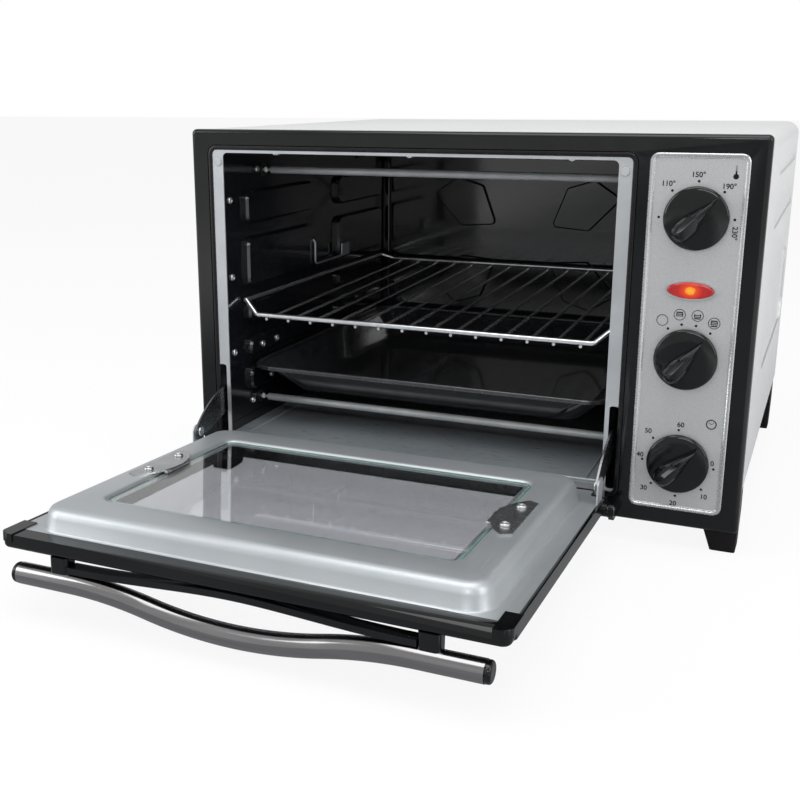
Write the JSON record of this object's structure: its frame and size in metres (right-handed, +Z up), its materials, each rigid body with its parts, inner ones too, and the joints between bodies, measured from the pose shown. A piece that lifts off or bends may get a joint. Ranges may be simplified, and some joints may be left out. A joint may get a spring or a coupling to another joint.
{
  "type": "electric countertop oven",
  "caption": "Countertop oven with a drop-down glass door on riveted arms, wire rack, baking tray, tubular heaters and a control column with knobs and a lamp.",
  "frame": {"origin": "middle of the bounding box's base, on the table under the oven with its door open", "axes": "+X to the right seen from the front, +Y to the back, +Z up; door open at rest"},
  "size_m": [0.46, 0.6792, 0.309],
  "materials": {
    "outer_cover": "white stove enamel, satin",
    "back_panel": "grey galvanised sheet",
    "base_pan": "grey galvanised sheet",
    "cord_grommet": "black soft bush",
    "foot": "black moulded foot",
    "front_frame": "black gloss moulded frame",
    "front_flange": "grey steel ring",
    "flange_plugs": "grey plug",
    "hinge_brackets": "black steel lug",
    "cavity_wall": "black gloss enamel",
    "cavity_floor": "galvanised sheet",
    "screws": "zinc-plated screws",
    "cavity_carriers": "galvanised sheet",
    "heater": "bright steel sheath",
    "heater_bushes": "glazed ceramic",
    "sensor_bracket": "steel wire",
    "control_panel": "silver brushed plate",
    "component_bracket": "galvanised sheet",
    "thermostat_body": "moulded body",
    "selector_switch": "moulded wafers",
    "timer_body": "zinc-plated can",
    "lens": "red lens",
    "bezel": "bright rim",
    "lamp": "neon lamp",
    "shaft": "turned steel",
    "knob": "black gloss knob",
    "wire_rack": "chromed wire",
    "baking_tray": "black enamel",
    "door_surround": "black frame",
    "door_inner_panel": "bright pressed sheet",
    "pane": "clear glass",
    "door_trim": "black gloss plastic",
    "glass_clip": "white strap",
    "handle_bar": "polished tube",
    "handle_black": "black gloss plastic",
    "arm": "steel sheet"
  },
  "bodies": {
    "body": {"back_panel": "back_panel", "base_pan": "base_pan", "cavity_back_wall": "cavity_wall", "cavity_carriers": "cavity_carriers", "cavity_floor": "cavity_floor", "cavity_left_wall": "cavity_wall", "cavity_right_wall": "cavity_wall", "cavity_roof": "cavity_wall", "cavity_screws": "screws", "component_bracket": "component_bracket", "control_panel": "control_panel", "cord_grommet": "cord_grommet", "cover_screws": "screws", "flange_plugs": "flange_plugs", "foot_front_left": "foot", "foot_front_right": "foot", "foot_rear_left": "foot", "foot_rear_right": "foot", "front_flange": "front_flange", "front_frame": "front_frame", "heater_bottom_front": "heater", "heater_bottom_rear": "heater", "heater_bushes": "heater_bushes", "heater_top_front": "heater", "heater_top_rear": "heater", "hinge_brackets": "hinge_brackets", "indicator_bezel": "bezel", "indicator_lamp": "lamp", "indicator_lens": "lens", "outer_cover": "outer_cover", "selector_switch": "selector_switch", "sensor_bracket": "sensor_bracket", "thermostat_body": "thermostat_body", "timer_body": "timer_body"},
    "door": {"door_surround": "door_surround", "door_inner_panel": "door_inner_panel", "door_window_glass": "pane", "door_outer_glass": "pane", "door_top_rail": "door_trim", "door_corner_caps": "door_trim", "clip_screws": "screws", "glass_clip_left": "glass_clip", "glass_clip_right": "glass_clip", "handle_bar": "handle_bar", "handle_end_caps": "handle_black", "handle_posts": "handle_black", "handle_bridge": "handle_black", "arm_lugs": "arm", "arm_rivets": "screws", "hinge_pins": "shaft"},
    "door_arm_left": {"door_arm_left": "arm"},
    "door_arm_right": {"door_arm_right": "arm"},
    "wire_rack": {"wire_rack": "wire_rack"},
    "baking_tray": {"baking_tray": "baking_tray"},
    "temperature_control": {"temperature_knob": "knob", "temperature_shaft": "shaft"},
    "function_control": {"function_knob": "knob", "function_shaft": "shaft"},
    "timer_control": {"timer_knob": "knob", "timer_shaft": "shaft"}
  },
  "joints": [
    {"name": "door_hinge", "type": "hinge", "parent": "body", "child": "door", "pos_m": [-0.0365, -0.06335, 0.0303], "axis": [1, 0, 0], "range_deg": [-87.2, 0]},
    {"name": "arm_left_pivot", "type": "hinge", "parent": "door", "child": "door_arm_left", "pos_m": [-0.2065, -0.09072, 0.05837], "axis": [1, 0, 0], "range_deg": [0, 109]},
    {"name": "arm_right_pivot", "type": "hinge", "parent": "door", "child": "door_arm_right", "pos_m": [0.1335, -0.09072, 0.05837], "axis": [1, 0, 0], "range_deg": [0, 109]},
    {"name": "rack_slide", "type": "slide", "parent": "body", "child": "wire_rack", "axis": [0, -1, 0], "range_m": [0, 0.2]},
    {"name": "tray_slide", "type": "slide", "parent": "body", "child": "baking_tray", "axis": [0, -1, 0], "range_m": [0, 0.2]},
    {"name": "temperature_turn", "type": "hinge", "parent": "body", "child": "temperature_control", "pos_m": [0.1835, -0.04835, 0.2512], "axis": [0, 1, 0], "range_deg": [-135, 70]},
    {"name": "function_turn", "type": "hinge", "parent": "body", "child": "function_control", "pos_m": [0.1835, -0.04835, 0.1492], "axis": [0, 1, 0], "range_deg": [-67.5, 0]},
    {"name": "timer_turn", "type": "hinge", "parent": "body", "child": "timer_control", "pos_m": [0.1835, -0.04835, 0.0694], "axis": [0, 1, 0], "range_deg": [0, 315]}
  ],
  "couplings": [
    {"joint": "arm_left_pivot", "follows": "door_hinge", "ratio": -1.25},
    {"joint": "arm_right_pivot", "follows": "door_hinge", "ratio": -1.25}
  ]
}
